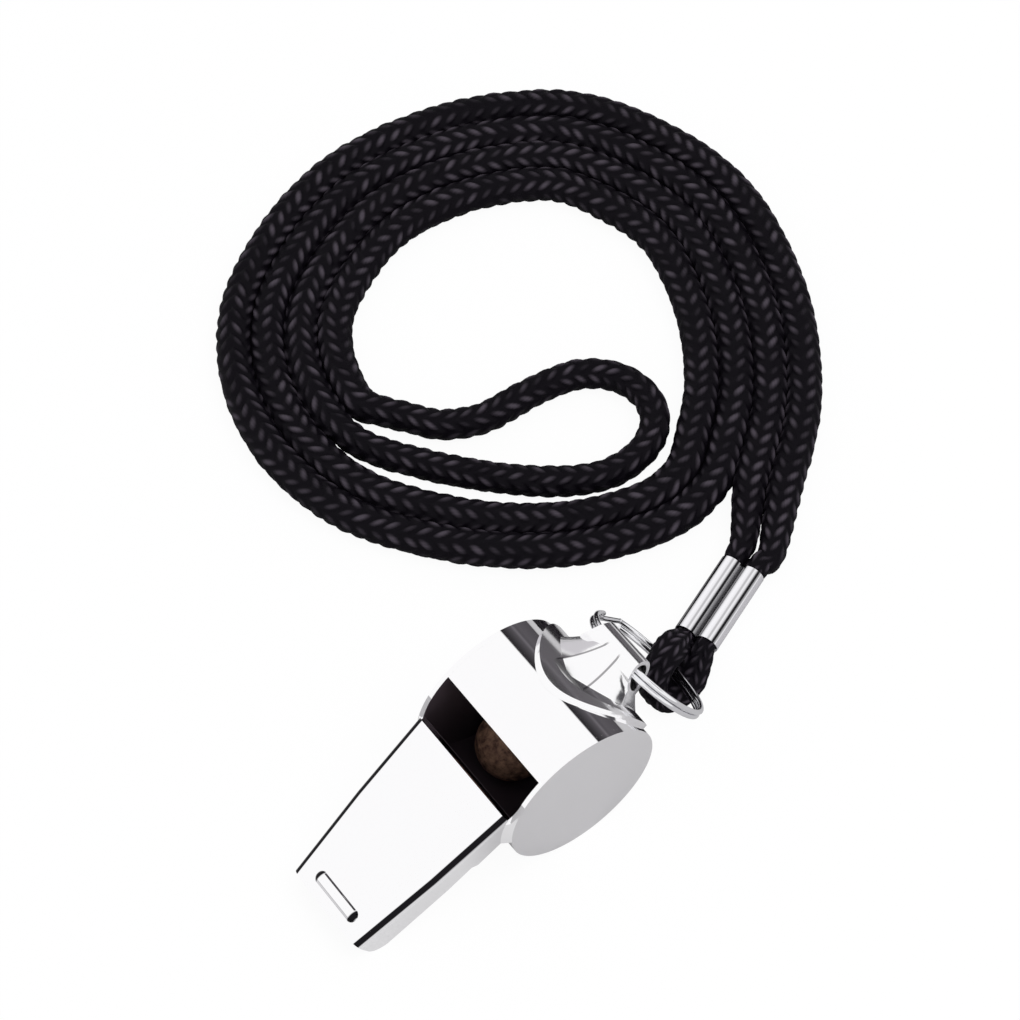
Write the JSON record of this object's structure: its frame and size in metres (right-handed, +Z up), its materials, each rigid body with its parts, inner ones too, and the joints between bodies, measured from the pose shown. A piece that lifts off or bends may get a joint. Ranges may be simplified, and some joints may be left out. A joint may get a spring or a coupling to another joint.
{
  "type": "sports whistle",
  "caption": "Polished metal pea whistle resting on its barrel, with a cork pea, a split ring through its rear lug and a coiled knitted neck cord crimped in a twin-tube ferrule",
  "frame": {"origin": "On the resting surface, midway between the mouth edge and the low end of the split ring, in the whistle's middle plane", "axes": "+X runs along the whistle from the ring end towards the mouth, +Y runs across it towards its right side plate, +Z is up from the resting surface"},
  "size_m": [0.1076, 0.1011, 0.0212],
  "materials": {
    "polished_metal": "polished",
    "ring_wire": "polished",
    "ferrule_metal": "satin",
    "pea_cork": "matte",
    "black_knit": "knitted"
  },
  "bodies": {
    "whistle": {"barrel_shell": "polished_metal", "mouthpiece_floor": "polished_metal", "windway_ramp": "polished_metal", "mouthpiece_cover": "polished_metal", "left_side_plate": "polished_metal", "right_side_plate": "polished_metal", "ring_lug": "polished_metal"},
    "pea": {"cork_pea": "pea_cork"},
    "ring": {"split_ring": "ring_wire"},
    "lanyard": {"ferrule": "ferrule_metal", "neck_cord": "black_knit", "ring_loop": "black_knit"}
  },
  "joints": [
    {"name": "pea_roll", "type": "hinge", "parent": "whistle", "child": "pea", "pos_m": [-0.0049, 0, 0.0105], "axis": [0, 1, 0], "continuous": true},
    {"name": "ring_swing", "type": "hinge", "parent": "whistle", "child": "ring", "pos_m": [-0.01765, 0, 0.01676], "axis": [0, 1, 0], "range_deg": [-15, 120]},
    {"name": "lanyard_swing", "type": "hinge", "parent": "ring", "child": "lanyard", "pos_m": [-0.0264, 0, 0.00219], "axis": [0, 1, 0], "range_deg": [-55, 60]}
  ]
}
